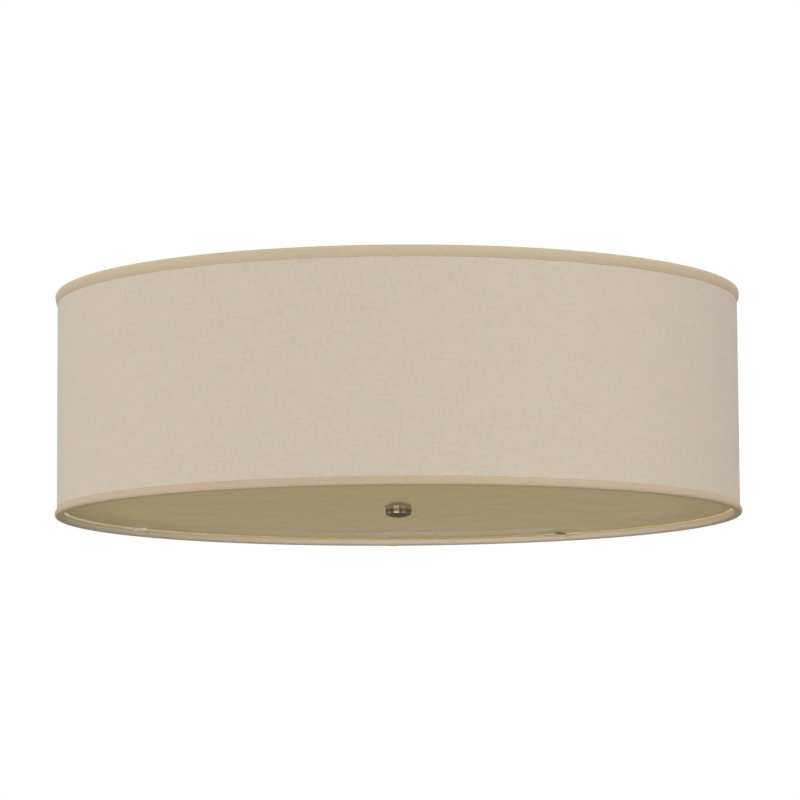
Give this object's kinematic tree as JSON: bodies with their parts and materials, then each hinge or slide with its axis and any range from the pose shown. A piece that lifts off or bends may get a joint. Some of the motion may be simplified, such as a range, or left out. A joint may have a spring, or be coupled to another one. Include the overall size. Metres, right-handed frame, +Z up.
{
  "type": "flush mount ceiling light",
  "caption": "Wide drum ceiling light: fabric shade with folded tape rims, glossy diffuser held by a centre finial and turn tabs, lampholders inside, canopy and strap for an outlet box.",
  "frame": {"origin": "centre of the mounting strap's top face, in the ceiling plane", "axes": "+Z up into the ceiling, -Y towards the viewer of the front, +X to that viewer's right"},
  "size_m": [0.7667, 0.7668, 0.2684],
  "materials": {
    "shade_fabric": "woven linen look, matte",
    "shade_liner": "matt styrene sheet",
    "trim_tape": "plain woven tape",
    "ring_wire": "white powder coat",
    "brass": "plain",
    "diffuser": "translucent acrylic, satin gloss",
    "gasket": "soft translucent",
    "nickel": "brushed nickel plate",
    "zinc": "zinc plate",
    "ground_green": "green dyed",
    "white_enamel": "white enamel, semi gloss",
    "bushing": "moulded",
    "tab_white": "white enamel",
    "lampholder": "phenolic",
    "bulb_base": "nickel plated",
    "bulb_body": "moulded",
    "bulb_dome": "frosted",
    "wire_black": "insulation",
    "wire_white": "insulation",
    "wire_nut": "moulded"
  },
  "bodies": {
    "fixture": {"arm_nuts": "zinc", "bottom_ring": "ring_wire", "bottom_trim": "trim_tape", "canopy_lock_ring": "nickel", "ceiling_canopy": "white_enamel", "centre_contacts": "brass", "cluster_body": "white_enamel", "cluster_cover": "white_enamel", "diffuser_check_nut": "zinc", "diffuser_panel": "diffuser", "ground_screw": "ground_green", "lampholder_1": "lampholder", "lampholder_2": "lampholder", "lampholder_3": "lampholder", "lampholder_4": "lampholder", "live_wires": "wire_black", "lock_washers": "zinc", "lower_sleeve": "white_enamel", "lower_stem": "zinc", "middle_sleeve": "white_enamel", "mounting_strap": "zinc", "neutral_wires": "wire_white", "screw_shell_1": "brass", "screw_shell_2": "brass", "screw_shell_3": "brass", "screw_shell_4": "brass", "shade_fabric": "shade_fabric", "shade_liner": "shade_liner", "shade_spider": "ring_wire", "socket_arms": "zinc", "stem_bushing": "bushing", "stem_hex_nuts": "zinc", "tab_rivets": "brass", "top_ring": "ring_wire", "top_trim": "trim_tape", "upper_sleeve": "white_enamel", "upper_stem": "zinc", "wire_nuts": "wire_nut"},
    "finial_seat": {"finial_washer": "nickel", "diffuser_gasket": "gasket"},
    "finial": {"finial_knob": "nickel"},
    "tab_1": {"turn_tab_1": "tab_white"},
    "bulb_1": {"bulb_1_base": "bulb_base", "bulb_1_body": "bulb_body", "bulb_1_dome": "bulb_dome"},
    "tab_2": {"turn_tab_2": "tab_white"},
    "bulb_2": {"bulb_2_base": "bulb_base", "bulb_2_body": "bulb_body", "bulb_2_dome": "bulb_dome"},
    "tab_3": {"turn_tab_3": "tab_white"},
    "bulb_3": {"bulb_3_base": "bulb_base", "bulb_3_body": "bulb_body", "bulb_3_dome": "bulb_dome"},
    "tab_4": {"turn_tab_4": "tab_white"},
    "bulb_4": {"bulb_4_base": "bulb_base", "bulb_4_body": "bulb_body", "bulb_4_dome": "bulb_dome"}
  },
  "joints": [
    {"name": "finial_drop", "type": "slide", "parent": "fixture", "child": "finial_seat", "axis": [0, 0, -1], "range_m": [0, 0.00471]},
    {"name": "finial_turn", "type": "hinge", "parent": "finial_seat", "child": "finial", "pos_m": [0, 0, -0.2566], "axis": [0, 0, -1], "range_deg": [0, 1800]},
    {"name": "tab_1_turn", "type": "hinge", "parent": "fixture", "child": "tab_1", "pos_m": [0.19641, 0.32051, -0.25235], "axis": [0, 0, 1], "range_deg": [-90, 90]},
    {"name": "tab_2_turn", "type": "hinge", "parent": "fixture", "child": "tab_2", "pos_m": [-0.30792, 0.21561, -0.25235], "axis": [0, 0, 1], "range_deg": [-90, 90]},
    {"name": "tab_3_turn", "type": "hinge", "parent": "fixture", "child": "tab_3", "pos_m": [-0.20583, -0.31454, -0.25235], "axis": [0, 0, 1], "range_deg": [-90, 90]},
    {"name": "tab_4_turn", "type": "hinge", "parent": "fixture", "child": "tab_4", "pos_m": [0.31454, -0.20583, -0.25235], "axis": [0, 0, 1], "range_deg": [-90, 90]},
    {"name": "bulb_1_turn", "type": "hinge", "parent": "fixture", "child": "bulb_1", "pos_m": [0, 0, -0.12], "axis": [0.7071, 0.7071, 0], "range_deg": [0, 1440]},
    {"name": "bulb_2_turn", "type": "hinge", "parent": "fixture", "child": "bulb_2", "pos_m": [0, 0, -0.12], "axis": [-0.7071, 0.7071, 0], "range_deg": [0, 1440]},
    {"name": "bulb_3_turn", "type": "hinge", "parent": "fixture", "child": "bulb_3", "pos_m": [0, 0, -0.12], "axis": [-0.7071, -0.7071, 0], "range_deg": [0, 1440]},
    {"name": "bulb_4_turn", "type": "hinge", "parent": "fixture", "child": "bulb_4", "pos_m": [0, 0, -0.12], "axis": [0.7071, -0.7071, 0], "range_deg": [0, 1440]}
  ],
  "couplings": [
    {"joint": "finial_drop", "follows": "finial_turn", "m_per_rad": 0.00014972}
  ]
}
